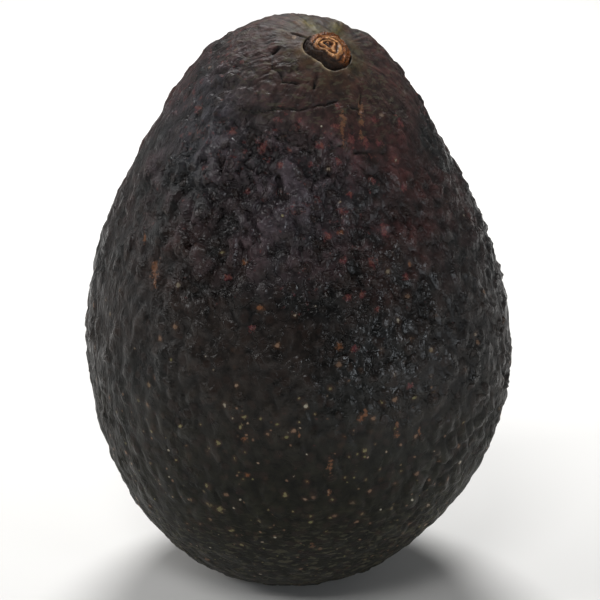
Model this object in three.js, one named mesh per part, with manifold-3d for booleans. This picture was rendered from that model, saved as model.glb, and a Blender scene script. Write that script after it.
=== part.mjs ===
// One ripe, dark, pebble-skinned avocado standing on its blunt end, with the stub of its stem in its pit.
// Millimetres, +Z up. The origin is the middle of the small flat spot that the fruit rests on.
// The front of the fruit, which the neck leans towards, faces -Y.

import * as THREE from 'three';
import { ConvexHull } from 'three/addons/math/ConvexHull.js';
import { mergeVertices } from 'three/addons/utils/BufferGeometryUtils.js';
import Module from 'manifold-3d';

// Body of the fruit: a round section carried along an axis, whose belly lies back and whose neck leans forward
const fruitHeight = 92.1; // of the axis, from the blunt end to the stem
const stemForward = 8.8;
const bellyBack = 10.9; // of the control point at bellyBackHeight
const bellyBackHeight = 64.8;
const bluntFlatness = 10.2; // height of the first control point: the less, the flatter the blunt end
const leanHeading = THREE.MathUtils.degToRad(36); // from the front towards the right
const sideBow = 2.4; // the axis bows this far to the right at mid height
const bellyRadius = 35.1;
const bellyShape = [1, 0.018, -0.406, -0.047, 0.373]; // powers of c, which is 1 at the blunt end, -1 at the stem
const restSpotRadius = 9;

// Low broad swellings and hollows: angle from the stem and heading round it in degrees, rise, reach.
// Headings are counted from the side that the neck leans towards.
const swellings = [
  [25, 111, 1, 6],
  [23, 148, -0.2, 6],
  [27, 180, -0.1, 8],
  [38, 207, 0.8, 11],
  [53, 223, -0.7, 7],
  [73, 231, 0.6, 15],
  [47, 71, -0.35, 5],
  [35, 80, 0.15, 8],
  [64, 60, 0.3, 13],
  [107, 244, -0.5, 14],
  [60, 150, 0.2, 14],
  [95, 110, -0.3, 14],
  [85, 175, 0.25, 15],
  [120, 150, 0.25, 15],
  [58, 300, 0.2, 12],
  [82, 350, -0.2, 12],
];
const bluntHollow = 0.6; // the flanks of the blunt end lie this much further in

// Pebbles, which are low over the blunt end and round the stem
const pebbleCount = 1600;
const pebbleJitter = 0.6; // share of the spacing
const pebbleLow = -0.2; // the lowest and highest a pebble stands over the smooth fruit: many are low, few high
const pebbleHigh = 0.95;
const pebbleUnevenness = 1.6;
const pebbleGroove = 0.78; // how far the groove between three pebbles lies below their middle height
const smoothBluntShare = 0.35; // share of the relief left at the blunt end
const smoothStemShare = 0.25; // and at the stem

// Stem pit with its raised lip, and the corky stub in it
const pitRadius = 4;
const pitBackShift = 0.085; // the pit reaches this share further out at pitBackHeading
const pitBackHeading = THREE.MathUtils.degToRad(208);
const pitOval = 0.06;
const pitOvalHeading = THREE.MathUtils.degToRad(98);
const pitDent = 1.5; // the edge of the skin bulges this far into the pit at pitDentHeading
const pitDentHeading = THREE.MathUtils.degToRad(290);
const pitDentWidth = THREE.MathUtils.degToRad(31);
const pitFloorShare = 0.93; // the floor's radius against the opening's
const pitDepth = 2.7;
const lipInnerRadius = 2; // of the ring before the pit is cut
const lipOuterRadius = 9; // where the lip has run out into the skin
const lipRise = 0.6;

// Fold of skin behind the pit, with one steep end
const foldRise = 0.6;
const foldStart = THREE.MathUtils.degToRad(131); // heading of its steep end
const foldEnd = THREE.MathUtils.degToRad(225);
const foldSteepWidth = THREE.MathUtils.degToRad(6);
const foldSoftWidth = THREE.MathUtils.degToRad(55);
const foldReach = [4, 9, 13, 18]; // it rises over the first two distances from the stem, falls over the others

// Stub
const stubFootShare = 0.84; // its foot's radius against its widest
const stubRise = 1.3; // of its highest point over the end of the fruit's axis
const stubPeakBack = 1.1; // its highest point, which the rings go round, lies this far back
const stubFrontDrop = 2.3; // how far its edge lies below its highest point, at the front and at the back
const stubBackDrop = 0.8;
const stubDropPower = 3; // the more, the flatter its top and the steeper its edge
const stubRingDepth = 0.2;
const stubRings = 3;
const stubSideGap = 0.35;
const stubFloorGap = 0.35;

// Faces
const pitSides = 44;
const lipSteps = 7;
const stubSides = 44;
const stubSteps = 15;

const skinLook = { color: 0x2b2622, roughness: 0.5, metalness: 0 };
const stubLook = { color: 0x8a5a34, roughness: 0.6, metalness: 0 };

const goldenAngle = Math.PI * (3 - Math.sqrt(5));
const leanAcross = new THREE.Vector3(Math.sin(leanHeading), -Math.cos(leanHeading), 0);
const sideways = new THREE.Vector3(Math.cos(leanHeading), Math.sin(leanHeading), 0);
const upwards = new THREE.Vector3(0, 0, 1);

// The axis in its own upright plane: how far forward, and how high
const axisCurve = new THREE.CubicBezierCurve(
  new THREE.Vector2(0, 0),
  new THREE.Vector2(0, bluntFlatness),
  new THREE.Vector2(-bellyBack, bellyBackHeight),
  new THREE.Vector2(stemForward, fruitHeight),
);

// The round blunt end is sunk below the floor so far that the cut there is a spot of the radius asked for
const bluntRadius = bellyRadius * bellyShape.reduce((sum, factor) => sum + factor, 0);
const spotWay = (1 - Math.sqrt(1 - (restSpotRadius / bluntRadius) ** 2)) / 2;
const baseSink = axisCurve.getPoint(spotWay).y;

// Round the stem the smooth fruit falls away by this much times the distance squared
const stemEndRadius = bellyRadius * bellyShape.reduce((sum, factor, power) => sum + factor * (-1) ** power, 0);
const stemEndRun = 3 * Math.hypot(stemForward + bellyBack, fruitHeight - bellyBackHeight);
const capDrop = stemEndRun / (4 * stemEndRadius ** 2);

const wasm = await Module();
wasm.setup();

// A fixed random share from 0 to 1 for each whole number
function share(number) {
  let mixed = (number * 0x6d2b79f5 + 0x9e3779b9) >>> 0;
  mixed = Math.imul(mixed ^ mixed >>> 15, mixed | 1);
  mixed ^= mixed + Math.imul(mixed ^ mixed >>> 7, mixed | 61);
  return ((mixed ^ mixed >>> 14) >>> 0) / 4294967296;
}

function solidOf(geometry) {
  const bare = geometry.clone();
  bare.deleteAttribute('normal');
  bare.deleteAttribute('uv');
  const merged = mergeVertices(bare, 1e-4);
  return new wasm.Manifold(new wasm.Mesh({
    numProp: 3,
    vertProperties: new Float32Array(merged.attributes.position.array),
    triVerts: new Uint32Array(merged.index.array),
  }));
}

function geometryOf(solid) {
  const mesh = solid.getMesh();
  const geometry = new THREE.BufferGeometry();
  geometry.setAttribute('position', new THREE.BufferAttribute(mesh.vertProperties, 3));
  geometry.setIndex(new THREE.BufferAttribute(mesh.triVerts, 1));
  geometry.computeVertexNormals();
  return geometry;
}

// The frame of the axis a share of the way from the blunt end to the stem: its point, the direction it runs in,
// and the direction across it that the neck leans towards
function axisFrame(way) {
  const spot = axisCurve.getPoint(way);
  const lean = axisCurve.getTangent(way);
  const point = leanAcross.clone().multiplyScalar(spot.x).addScaledVector(upwards, spot.y - baseSink);
  point.x += sideBow * Math.sin(Math.PI * way);
  const run = leanAcross.clone().multiplyScalar(lean.x).addScaledVector(upwards, lean.y);
  const across = leanAcross.clone().multiplyScalar(lean.y).addScaledVector(upwards, -lean.x);
  return { point, run, across };
}

// A direction on the unit ball becomes a point of the smooth fruit: its height sets how far along the axis the
// section is, and the section's radius is the ball's own radius there times a polynomial of that height
function smoothPoint(direction) {
  const c = -direction.z;
  const swell = bellyShape.reduce((sum, factor, power) => sum + factor * c ** power, 0);
  const { point, across } = axisFrame((1 - c) / 2);
  point.addScaledVector(across, bellyRadius * swell * direction.x);
  return point.addScaledVector(sideways, bellyRadius * swell * direction.y);
}

function outwardAt(direction) {
  const step = 0.01;
  const first = new THREE.Vector3(direction.y, -direction.x, 0.3).cross(direction).normalize();
  const second = direction.clone().cross(first);
  const here = smoothPoint(direction);
  const one = smoothPoint(direction.clone().addScaledVector(first, step).normalize()).sub(here);
  const two = smoothPoint(direction.clone().addScaledVector(second, step).normalize()).sub(here);
  return one.cross(two).normalize();
}

function foldHeight(radius, angle) {
  const round = THREE.MathUtils.euclideanModulo(angle, 2 * Math.PI);
  const steep = THREE.MathUtils.smoothstep(round, foldStart - foldSteepWidth, foldStart + foldSteepWidth);
  const soft = 1 - THREE.MathUtils.smoothstep(round, foldEnd - foldSoftWidth, foldEnd);
  const rising = THREE.MathUtils.smoothstep(radius, foldReach[0], foldReach[1]);
  const falling = 1 - THREE.MathUtils.smoothstep(radius, foldReach[2], foldReach[3]);
  return foldRise * steep * soft * rising * falling;
}

function broadHeight(direction) {
  const flank = THREE.MathUtils.smoothstep(-direction.z, 0.45, 0.7);
  const end = THREE.MathUtils.smoothstep(-direction.z, 0.93, 0.985);
  let height = -bluntHollow * flank * (1 - end);
  for (const [polar, heading, rise, reach] of swellings) {
    const middle = new THREE.Vector3().setFromSphericalCoords(1, polar * Math.PI / 180, 0);
    middle.set(middle.z, 0, middle.y).applyAxisAngle(upwards, heading * Math.PI / 180);
    const apart = bellyRadius * direction.angleTo(middle) / reach;
    height += rise * Math.exp(-apart * apart);
  }
  if (direction.z > 0) {
    const radius = stemEndRadius * Math.hypot(direction.x, direction.y);
    height += foldHeight(radius, Math.atan2(direction.y, direction.x));
  }
  return height;
}

// Relief is full over the shoulders and belly and fades towards both ends
function reliefShare(direction) {
  const blunt = THREE.MathUtils.smoothstep(direction.z, -0.85, -0.1);
  const stem = THREE.MathUtils.smoothstep(-direction.z, -0.985, -0.86);
  return THREE.MathUtils.lerp(smoothBluntShare, 1, blunt) * THREE.MathUtils.lerp(smoothStemShare, 1, stem);
}

// Pebble middles: points spaced evenly round the ball by the golden angle, each moved a little
function pebbleMiddles() {
  const reach = pebbleJitter * Math.sqrt(4 * Math.PI / pebbleCount);
  return Array.from({ length: pebbleCount }, (empty, k) => {
    const height = 1 - (2 * k + 1) / pebbleCount;
    const radius = Math.sqrt(1 - height * height);
    const turn = k * goldenAngle;
    const middle = new THREE.Vector3(radius * Math.cos(turn), radius * Math.sin(turn), height);
    const shift = new THREE.Vector3(share(4 * k), share(4 * k + 1), share(4 * k + 2)).subScalar(0.5);
    return middle.addScaledVector(shift, reach).normalize();
  });
}

function skinPoint(direction, relief) {
  const lift = broadHeight(direction) + relief * reliefShare(direction);
  return smoothPoint(direction).addScaledVector(outwardAt(direction), lift);
}

// The pebbled skin: each middle is a peak, and the middle of each triangle between three pebbles is a groove.
// Every edge between two neighbouring peaks is swapped for the edge between the two grooves beside it.
function pebbledSkin() {
  const middles = pebbleMiddles();
  const hull = new ConvexHull().setFromPoints(middles);
  const rises = new Map();
  const peakIndex = new Map();
  const positions = [];
  middles.forEach((middle, k) => {
    const rise = THREE.MathUtils.lerp(pebbleLow, pebbleHigh, share(4 * k + 3) ** pebbleUnevenness);
    rises.set(middle, rise);
    peakIndex.set(middle, k);
    positions.push(skinPoint(middle, rise));
  });
  const grooveIndex = new Map();
  hull.faces.forEach((face) => {
    const corners = [0, 1, 2].map((corner) => face.getEdge(corner).head().point);
    const groove = corners.reduce((sum, corner) => sum.add(corner), new THREE.Vector3()).normalize();
    const meanRise = corners.reduce((sum, corner) => sum + rises.get(corner) / 3, 0);
    grooveIndex.set(face, positions.length);
    positions.push(skinPoint(groove, meanRise - pebbleGroove));
  });
  const triangles = [];
  hull.faces.forEach((face) => {
    for (let corner = 0; corner < 3; corner++) {
      const edge = face.getEdge(corner);
      const peak = peakIndex.get(edge.tail().point);
      triangles.push(peak, grooveIndex.get(edge.twin.face), grooveIndex.get(face));
    }
  });
  const geometry = new THREE.BufferGeometry();
  geometry.setAttribute('position', new THREE.Float32BufferAttribute(positions.flatMap((p) => p.toArray()), 3));
  geometry.setIndex(triangles);
  return geometry;
}

// Anything round the stem is turned about Z and then set at the end of the fruit's axis, facing out of it
function toStemEnd(geometry) {
  const { point, run, across } = axisFrame(1);
  return geometry.applyMatrix4(new THREE.Matrix4().makeBasis(across, sideways, run).setPosition(point));
}

// Moves every point of a turned piece in or out, and up, by rules of its angle round the stem
function reshape(geometry, rule) {
  const spots = geometry.attributes.position;
  for (let i = 0; i < spots.count; i++) {
    const spot = new THREE.Vector3().fromBufferAttribute(spots, i);
    const angle = Math.atan2(spot.y, spot.x);
    const moved = rule(spot, angle);
    spots.setXYZ(i, moved.x, moved.y, moved.z);
  }
  return geometry;
}

// Radius of the pit's opening: an oval set a little back, with a dent where the skin bulges into it
function pitOutline(angle) {
  const apart = THREE.MathUtils.euclideanModulo(angle - pitDentHeading + Math.PI, 2 * Math.PI) - Math.PI;
  const shift = pitBackShift * Math.cos(angle - pitBackHeading);
  const oval = pitOval * Math.cos(2 * (angle - pitOvalHeading));
  return pitRadius * (1 + shift + oval) - pitDent * Math.exp(-((apart / pitDentWidth) ** 2));
}

function turned(profile, sides) {
  return new THREE.LatheGeometry(profile, sides).rotateX(Math.PI / 2);
}

// The lip over the smooth fruit: highest at the pit and running out at its outer radius
function lipHeight(radius, angle) {
  const opening = pitOutline(angle);
  const away = THREE.MathUtils.clamp((radius - opening) / (lipOuterRadius - opening), 0, 1);
  const ripple = 0.1 * Math.sin(7 * angle + 1) + 0.07 * Math.sin(11 * angle);
  const rise = (lipRise + ripple) * (1 - away) ** 2 + foldHeight(radius, angle);
  return rise - 0.15 * away ** 3 - capDrop * radius * radius;
}

// A low ring of skin round the pit with its foot deep in the flesh
function pitLip() {
  const foot = -4;
  const profile = [new THREE.Vector2(lipInnerRadius, foot), new THREE.Vector2(lipOuterRadius - 1, foot)];
  for (let step = 0; step <= lipSteps; step++) {
    profile.push(new THREE.Vector2(THREE.MathUtils.lerp(lipOuterRadius, lipInnerRadius, step / lipSteps), 0));
  }
  profile.push(profile[0].clone());
  const ring = reshape(turned(profile, pitSides), (spot, angle) => {
    const height = spot.z < foot / 2 ? spot.z : lipHeight(Math.hypot(spot.x, spot.y), angle);
    return new THREE.Vector3(spot.x, spot.y, height);
  });
  return toStemEnd(ring);
}

function pitCutter() {
  const top = lipRise + 2;
  const profile = [
    new THREE.Vector2(0, -pitDepth),
    new THREE.Vector2(pitRadius * pitFloorShare, -pitDepth),
    new THREE.Vector2(pitRadius, 0),
    new THREE.Vector2(pitRadius + 1, top),
    new THREE.Vector2(0, top),
  ];
  const cutter = reshape(turned(profile, pitSides), (spot, angle) => {
    const wider = pitOutline(angle) / pitRadius;
    return new THREE.Vector3(spot.x * wider, spot.y * wider, spot.z);
  });
  return toStemEnd(cutter);
}

function floorBlock() {
  const side = 4 * bellyRadius;
  return new THREE.BoxGeometry(side, side, side).translate(0, 0, -side / 2);
}

function fruit() {
  const solid = solidOf(pebbledSkin())
    .add(solidOf(pitLip()))
    .subtract(solidOf(pitCutter()))
    .subtract(solidOf(floorBlock()));
  const mesh = new THREE.Mesh(geometryOf(solid), new THREE.MeshStandardMaterial(skinLook));
  mesh.name = 'fruit';
  return mesh;
}

// Height of the stub's top a share of the way from its highest point to its edge: a dome that falls further
// at the front, with rings on it
function stubHeight(way, angle) {
  const drop = THREE.MathUtils.lerp(stubBackDrop, stubFrontDrop, 0.5 + 0.5 * Math.cos(angle));
  const ring = stubRingDepth * (1 - 0.4 * way) * (Math.cos(2 * Math.PI * stubRings * way) - 1);
  const unevenness = 0.1 * way * Math.sin(5 * angle + way * 14);
  return stubRise - drop * way ** stubDropPower + ring + unevenness;
}

// The stub of cork fills the pit's outline but for a gap, and its rings go round its highest point
function stemStub() {
  const floor = -pitDepth + stubFloorGap;
  const profile = [new THREE.Vector2(0, floor), new THREE.Vector2(stubFootShare, floor)];
  for (let step = 0; step <= stubSteps; step++) {
    profile.push(new THREE.Vector2(1 - step / stubSteps, 0));
  }
  const stub = reshape(turned(profile, stubSides), (spot, angle) => {
    const way = Math.hypot(spot.x, spot.y);
    const reach = (pitOutline(angle) - stubSideGap) * way;
    const onTop = spot.z > floor / 2;
    const back = onTop ? stubPeakBack * (1 - way) : 0;
    const height = onTop ? stubHeight(way, angle) : floor;
    return new THREE.Vector3(reach * Math.cos(angle) - back, reach * Math.sin(angle), height);
  });
  const mesh = new THREE.Mesh(toStemEnd(stub), new THREE.MeshStandardMaterial(stubLook));
  mesh.name = 'stem_stub';
  return mesh;
}

const avocado = new THREE.Group();
avocado.add(fruit());
avocado.add(stemStub());

export default avocado;
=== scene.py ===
import math
from functools import partial

import bpy
import numpy as np
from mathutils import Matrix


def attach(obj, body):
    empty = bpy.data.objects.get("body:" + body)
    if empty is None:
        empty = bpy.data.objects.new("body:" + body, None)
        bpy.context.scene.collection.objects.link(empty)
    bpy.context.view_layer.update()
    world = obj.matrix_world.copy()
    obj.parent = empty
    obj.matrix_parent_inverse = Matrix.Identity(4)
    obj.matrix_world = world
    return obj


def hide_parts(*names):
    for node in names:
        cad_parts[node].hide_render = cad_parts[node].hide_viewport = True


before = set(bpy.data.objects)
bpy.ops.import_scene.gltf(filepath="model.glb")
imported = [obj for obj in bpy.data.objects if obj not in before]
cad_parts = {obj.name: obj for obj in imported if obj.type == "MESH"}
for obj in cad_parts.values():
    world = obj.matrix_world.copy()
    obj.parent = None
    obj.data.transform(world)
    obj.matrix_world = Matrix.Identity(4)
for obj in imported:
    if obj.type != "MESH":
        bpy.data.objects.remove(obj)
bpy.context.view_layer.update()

millimetre = 0.001
print("frame loaded")


# Small tools

def linearColour(hexText):
    # sRGB hex to linear: the standard curve, a straight line below 0.04045 and a power of 2.4 above
    channels = [int(hexText[i:i + 2], 16) / 255 for i in (1, 3, 5)]
    return [c / 12.92 if c <= 0.04045 else ((c + 0.055) / 1.055) ** 2.4 for c in channels] + [1.0]


times = {"operation": "MULTIPLY"}
timesPlus = {"operation": "MULTIPLY_ADD"}
mixing = {"data_type": "RGBA"}
soft = {"interpolation_type": "SMOOTHSTEP"}


def addNode(tree, kind, settings, inputs, output=0):
    # The inputs are plain values or other nodes' outputs, by name or number
    node = tree.nodes.new("ShaderNode" + kind)
    for name, value in settings.items():
        setattr(node, name, value)
    for name, value in inputs.items():
        if isinstance(value, bpy.types.NodeSocket):
            tree.links.new(value, node.inputs[name])
        else:
            node.inputs[name].default_value = value
    return node.outputs[output]


def newMaterial(name):
    # With its node tree, its shader and a short way to add nodes
    material = bpy.data.materials.new(name)
    material.use_nodes = True
    tree = material.node_tree
    return material, tree, tree.nodes["Principled BSDF"], partial(addNode, tree)


def smoothStep(low, high, value):
    # 0 below low, 1 above high, and 3w^2 - 2w^3 between
    w = np.clip((value - low) / (high - low), 0, 1)
    return w * w * (3 - 2 * w)


def lerp(a, b, w):
    return a + (b - a) * w


def mixedShare(numbers):
    # A fixed random share from 0 to 1 for each whole number, by multiplying and shifting its 32 bits
    mask = np.uint64(0xffffffff)
    mixed = (np.asarray(numbers, np.uint64) * np.uint64(0x6d2b79f5) + np.uint64(0x9e3779b9)) & mask
    mixed = ((mixed ^ (mixed >> np.uint64(15))) * (mixed | np.uint64(1))) & mask
    folded = ((mixed ^ (mixed >> np.uint64(7))) * (mixed | np.uint64(61))) & mask
    mixed = mixed ^ ((mixed + folded) & mask)
    return (mixed ^ (mixed >> np.uint64(14))).astype(np.float64) / 4294967296


def cellNumber(cells, seed):
    # One whole number for each cell of a lattice in space
    keys = cells.astype(np.int64) + 4096
    mixed = keys[..., 0] * 73856093 ^ keys[..., 1] * 19349663 ^ keys[..., 2] * 83492791
    return (mixed + seed * 7919) & 0xfffffff


def softNoise(points, size, seed):
    # A random slope at each corner of a lattice of the given size, blended inside each cell by
    # 6w^5 - 15w^4 + 10w^3: about -1 to 1
    spots = points / size
    base = np.floor(spots).astype(np.int64)
    part = spots - base
    fade = part ** 3 * (part * (part * 6 - 15) + 10)
    total = np.zeros(points.shape[:-1])
    for corner in np.ndindex(2, 2, 2):
        step = np.array(corner)
        key = cellNumber(base + step, seed) * 3
        slope = np.stack([mixedShare(key + k) for k in range(3)], axis=-1) * 2 - 1
        weight = np.prod(np.where(step == 1, fade, 1 - fade), axis=-1)
        total += weight * np.sum(slope * (part - step), axis=-1)
    return total * 1.7


def layeredNoise(points, size, seed, layers=3):
    # Soft noise added to itself at half the size and half the height
    return sum(softNoise(points, size / 2 ** k, seed + k) / 2 ** k for k in range(layers)) / 1.4


def cellField(points, size, seed):
    # One random point in each cell of a lattice: the distance to the nearest, in the points' own units,
    # and its random share
    spots = points / size
    base = np.floor(spots).astype(np.int64)
    nearest = np.full(points.shape[:-1], 9.0)
    shares = np.zeros(points.shape[:-1])
    for step in np.ndindex(3, 3, 3):
        cell = base + np.array(step) - 1
        key = cellNumber(cell, seed)
        middle = np.stack([cell[..., k] + mixedShare(key * 4 + k) for k in range(3)], axis=-1)
        far = np.linalg.norm(spots - middle, axis=-1)
        closer = far < nearest
        shares = np.where(closer, mixedShare(key * 4 + 3), shares)
        nearest = np.where(closer, far, nearest)
    return nearest * size, shares


def closedPoints(grid):
    # A grid's values in the order of its piece's points: the first and last row give a single one
    return np.concatenate([grid[0, :1], grid[1:-1].reshape(-1, *grid.shape[2:]), grid[-1, :1]])


def lay(tint, colour, share):
    # One colour laid over a tint, by a share from 0 to 1 at each point
    return lerp(tint, np.array(linearColour(colour)[:3]), np.clip(share, 0, 1)[..., None])


def closedGrid(name, rows, material):
    # Rows of points round a closed skin, each row a ring, the first and last a single middle point
    count, around = rows.shape[:2]
    vertices = closedPoints(rows) * millimetre
    ring = np.arange(around)
    after = (ring + 1) % around
    starts = 1 + around * np.arange(count - 3)[:, None]
    quads = np.stack([starts + ring, starts + around + ring,
                      starts + around + after, starts + after], axis=-1)
    last = len(vertices) - 1
    lastRing = last - around
    caps = np.concatenate([
        np.stack([np.zeros_like(ring), 1 + ring, 1 + after], axis=-1),
        np.stack([np.full_like(ring, last), lastRing + after, lastRing + ring], axis=-1),
    ])
    mesh = bpy.data.meshes.new(name)
    mesh.from_pydata(vertices.tolist(), [], quads.reshape(-1, 4).tolist() + caps.tolist())
    mesh.shade_smooth()
    mesh.materials.append(material)
    piece = bpy.data.objects.new(name, mesh)
    bpy.context.collection.objects.link(piece)
    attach(piece, "root")
    return piece


def addValues(piece, name, grid, kind="FLOAT"):
    # One number, vector or colour for each point of a closed grid, which the material reads by name
    values = closedPoints(grid)
    if kind == "FLOAT_COLOR":
        values = np.concatenate([np.clip(values, 0, 1), np.ones((len(values), 1))], axis=1)
    field = {"FLOAT": "value", "FLOAT_VECTOR": "vector", "FLOAT_COLOR": "color"}[kind]
    attribute = piece.data.attributes.new(name, kind, "POINT")
    attribute.data.foreach_set(field, values.astype(np.float32).ravel())


# Shape of the whole fruit, in millimetres, as the frame has it

fruitShape = {
    "height": 92.1,            # of the axis
    "stemForward": 8.8,
    "bellyBack": 10.9,
    "bellyBackHeight": 64.8,
    "bluntFlatness": 10.2,
    "leanHeading": math.radians(36),
    "sideBow": 2.4,
    "bellyRadius": 35.1,
    "bellyPowers": [1, 0.018, -0.406, -0.047, 0.373],
    "restSpotRadius": 9,
    "bluntHollow": 0.6,        # the flanks of the blunt end lie this much further in
    "swellings": [
        # angle from the stem and heading round it in degrees, rise, reach
        (25, 111, 1, 6), (23, 148, -0.2, 6), (27, 180, -0.1, 8), (38, 207, 0.8, 11), (53, 223, -0.7, 7),
        (73, 231, 0.6, 15), (47, 71, -0.35, 5), (35, 80, 0.15, 8), (64, 60, 0.3, 13), (107, 244, -0.5, 14),
        (60, 150, 0.2, 14), (95, 110, -0.3, 14), (85, 175, 0.25, 15), (120, 150, 0.25, 15),
        (58, 300, 0.2, 12), (82, 350, -0.2, 12),
    ],
    "foldRise": 0.6,           # of the fold of skin behind the stem, with one steep end
    "foldStart": math.radians(131),
    "foldEnd": math.radians(225),
    "foldSteepWidth": math.radians(6),
    "foldSoftWidth": math.radians(55),
    "foldReach": (4, 9, 13, 18),
}

heading = fruitShape["leanHeading"]
leanAcross = np.array([math.sin(heading), -math.cos(heading), 0])
sideways = np.array([math.cos(heading), math.sin(heading), 0])
upwards = np.array([0, 0, 1.0])
axisPoints = np.array([
    [0, 0],
    [0, fruitShape["bluntFlatness"]],
    [-fruitShape["bellyBack"], fruitShape["bellyBackHeight"]],
    [fruitShape["stemForward"], fruitShape["height"]],
])
bluntRadius = fruitShape["bellyRadius"] * sum(fruitShape["bellyPowers"])
stemEndRadius = fruitShape["bellyRadius"] * sum(
    factor * (-1) ** power for power, factor in enumerate(fruitShape["bellyPowers"]))


def axisSpot(way):
    # Cubic curve with four control points: point and unit direction, in the axis's own upright plane
    w, v = way[..., None], 1 - way[..., None]
    p0, p1, p2, p3 = axisPoints
    spot = v ** 3 * p0 + 3 * w * v * v * p1 + 3 * w * w * v * p2 + w ** 3 * p3
    run = v * v * (p1 - p0) + 2 * w * v * (p2 - p1) + w * w * (p3 - p2)
    return spot, run / np.linalg.norm(run, axis=-1, keepdims=True)


spotWay = (1 - math.sqrt(1 - (fruitShape["restSpotRadius"] / bluntRadius) ** 2)) / 2
baseSink = axisSpot(np.array([spotWay]))[0][0, 1]


def axisFrame(way):
    # Point of the axis, its direction, and the direction across it that the neck leans towards
    spot, run = axisSpot(way)
    point = spot[..., :1] * leanAcross + (spot[..., 1:] - baseSink) * upwards
    point[..., 0] += fruitShape["sideBow"] * np.sin(np.pi * way)
    direction = run[..., :1] * leanAcross + run[..., 1:] * upwards
    across = run[..., 1:] * leanAcross - run[..., :1] * upwards
    return point, direction, across


def smoothSkin(polar, turn):
    # A round section at each place on the axis: the angle from the stem sets the place, and the radius
    # there is the sine of that angle times a polynomial of its cosine
    c = -np.cos(polar)
    swell = sum(factor * c ** power for power, factor in enumerate(fruitShape["bellyPowers"]))
    radius = fruitShape["bellyRadius"] * swell * np.sin(polar)
    point, direction, across = axisFrame((1 - c) / 2)
    return (point + (radius * np.cos(turn))[..., None] * across
            + (radius * np.sin(turn))[..., None] * sideways)


def outward(polar, turn):
    # Across the steps in the two angles; the sine keeps it steady near the ends
    step = 0.004
    here = smoothSkin(polar, turn)
    down = smoothSkin(polar + step, turn) - here
    aside = (smoothSkin(polar, turn + step) - here) / np.maximum(np.sin(polar), 0.02)[..., None]
    normal = np.cross(down, aside)
    return normal / np.linalg.norm(normal, axis=-1, keepdims=True)


stemPoint, stemRun, stemAcross = (part[0] for part in axisFrame(np.array([1.0])))
print("fruit shape ready, stem at", np.round(stemPoint, 1))


# Camera at the photo's angle: the fruit's height fills 570 of the frame's 600 rows

cameraView = {
    "elevation": math.radians(20),
    "distance": 450,
    "target": [0.8, 0, 48],
    "lens": 163.8,
    "sensor": 36,
}


def addCamera():
    lift = cameraView["elevation"]
    target = np.array(cameraView["target"], float)
    spot = target + cameraView["distance"] * np.array([0, -math.cos(lift), math.sin(lift)])
    data = bpy.data.cameras.new("photoCamera")
    data.sensor_width = cameraView["sensor"]
    data.lens = cameraView["lens"]
    data.clip_start = 0.01
    data.clip_end = 20
    camera = bpy.data.objects.new("photoCamera", data)
    camera.location = spot * millimetre
    camera.rotation_euler = (math.pi / 2 - lift, 0, 0)
    bpy.context.collection.objects.link(camera)
    bpy.context.scene.camera = camera


addCamera()


# Studio: pale floor, a large soft light on each side, a smaller one over the front and one at the left
# front, a small one low at the right front that gives the glints, a wide soft spot from above and behind
# that brightens the floor, and a dim pale room

studio = {
    "floorColour": "#d5d4d2",
    "floorHalf": 2.6,
    "room": 0.1,
    "softboxes": [
        # name, place in metres, size, power in watts
        ("leftSoftbox", (-0.75, 0.30, 0.42), 0.8, 2.4),
        ("leftFrontSoftbox", (-0.85, -0.35, 0.6), 0.25, 2.7),
        ("rightSoftbox", (0.78, 0.30, 0.36), 0.8, 0.5),
        ("frontSoftbox", (-0.2, -0.8, 1.05), 0.4, 4.7),
        ("glintLamp", (0.80, -0.55, 0.16), 0.14, 2.4),
    ],
    "glintColour": (0.88, 0.94, 1.0),
    "spotPlace": (0, 0.75, 0.95),
    "spotAim": (0.01, 0.2, 0),
    "spotPower": 78,
    "spotWidth": math.radians(38),
    "spotBlend": 0.45,
    "spotRadius": 0.25,
}


def paleFloorMaterial():
    # Matt card: no gloss of its own, so it only takes the fruit's soft shadow
    material, _, shader, _ = newMaterial("matt_card")
    shader.inputs["Base Color"].default_value = linearColour(studio["floorColour"])
    shader.inputs["Roughness"].default_value = 0.9
    return material


def addLamp(data, place, target):
    lamp = bpy.data.objects.new(data.name, data)
    lamp.location = place
    aim = np.array(target) - np.array(place)
    lamp.rotation_euler = (math.atan2(math.hypot(aim[0], aim[1]), -aim[2]), 0,
                           math.atan2(aim[1], aim[0]) - math.pi / 2)
    bpy.context.collection.objects.link(lamp)


def addStudio():
    half = studio["floorHalf"]
    mesh = bpy.data.meshes.new("floor")
    corners = [(-half, -half, 0), (half, -half, 0), (half, half, 0), (-half, half, 0)]
    mesh.from_pydata(corners, [], [(0, 1, 2, 3)])
    mesh.materials.append(paleFloorMaterial())
    floor = bpy.data.objects.new("floor", mesh)
    bpy.context.collection.objects.link(floor)
    for name, place, size, power in studio["softboxes"]:
        data = bpy.data.lights.new(name, "AREA")
        data.shape = "SQUARE"
        data.size = size
        data.energy = power
        if name == "glintLamp":
            data.color = studio["glintColour"]
        addLamp(data, place, (0, 0, 0.05))
    data = bpy.data.lights.new("floorSpot", "SPOT")
    data.spot_size = studio["spotWidth"]
    data.spot_blend = studio["spotBlend"]
    data.shadow_soft_size = studio["spotRadius"]
    data.energy = studio["spotPower"]
    addLamp(data, studio["spotPlace"], studio["spotAim"])
    world = bpy.data.worlds.new("room")
    world.use_nodes = True
    light = world.node_tree.nodes["Background"].inputs
    light["Color"].default_value = (1, 1, 1, 1)
    light["Strength"].default_value = studio["room"]
    bpy.context.scene.world = world
    bpy.context.scene.view_settings.view_transform = "Standard"


addStudio()
print("camera and studio ready")


# Places on the fruit, by the angle from the stem and the heading round it, in degrees

def skinSpot(place):
    polar, turn = np.radians(np.asarray(place, float)).T
    return smoothSkin(polar, turn)


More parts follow.
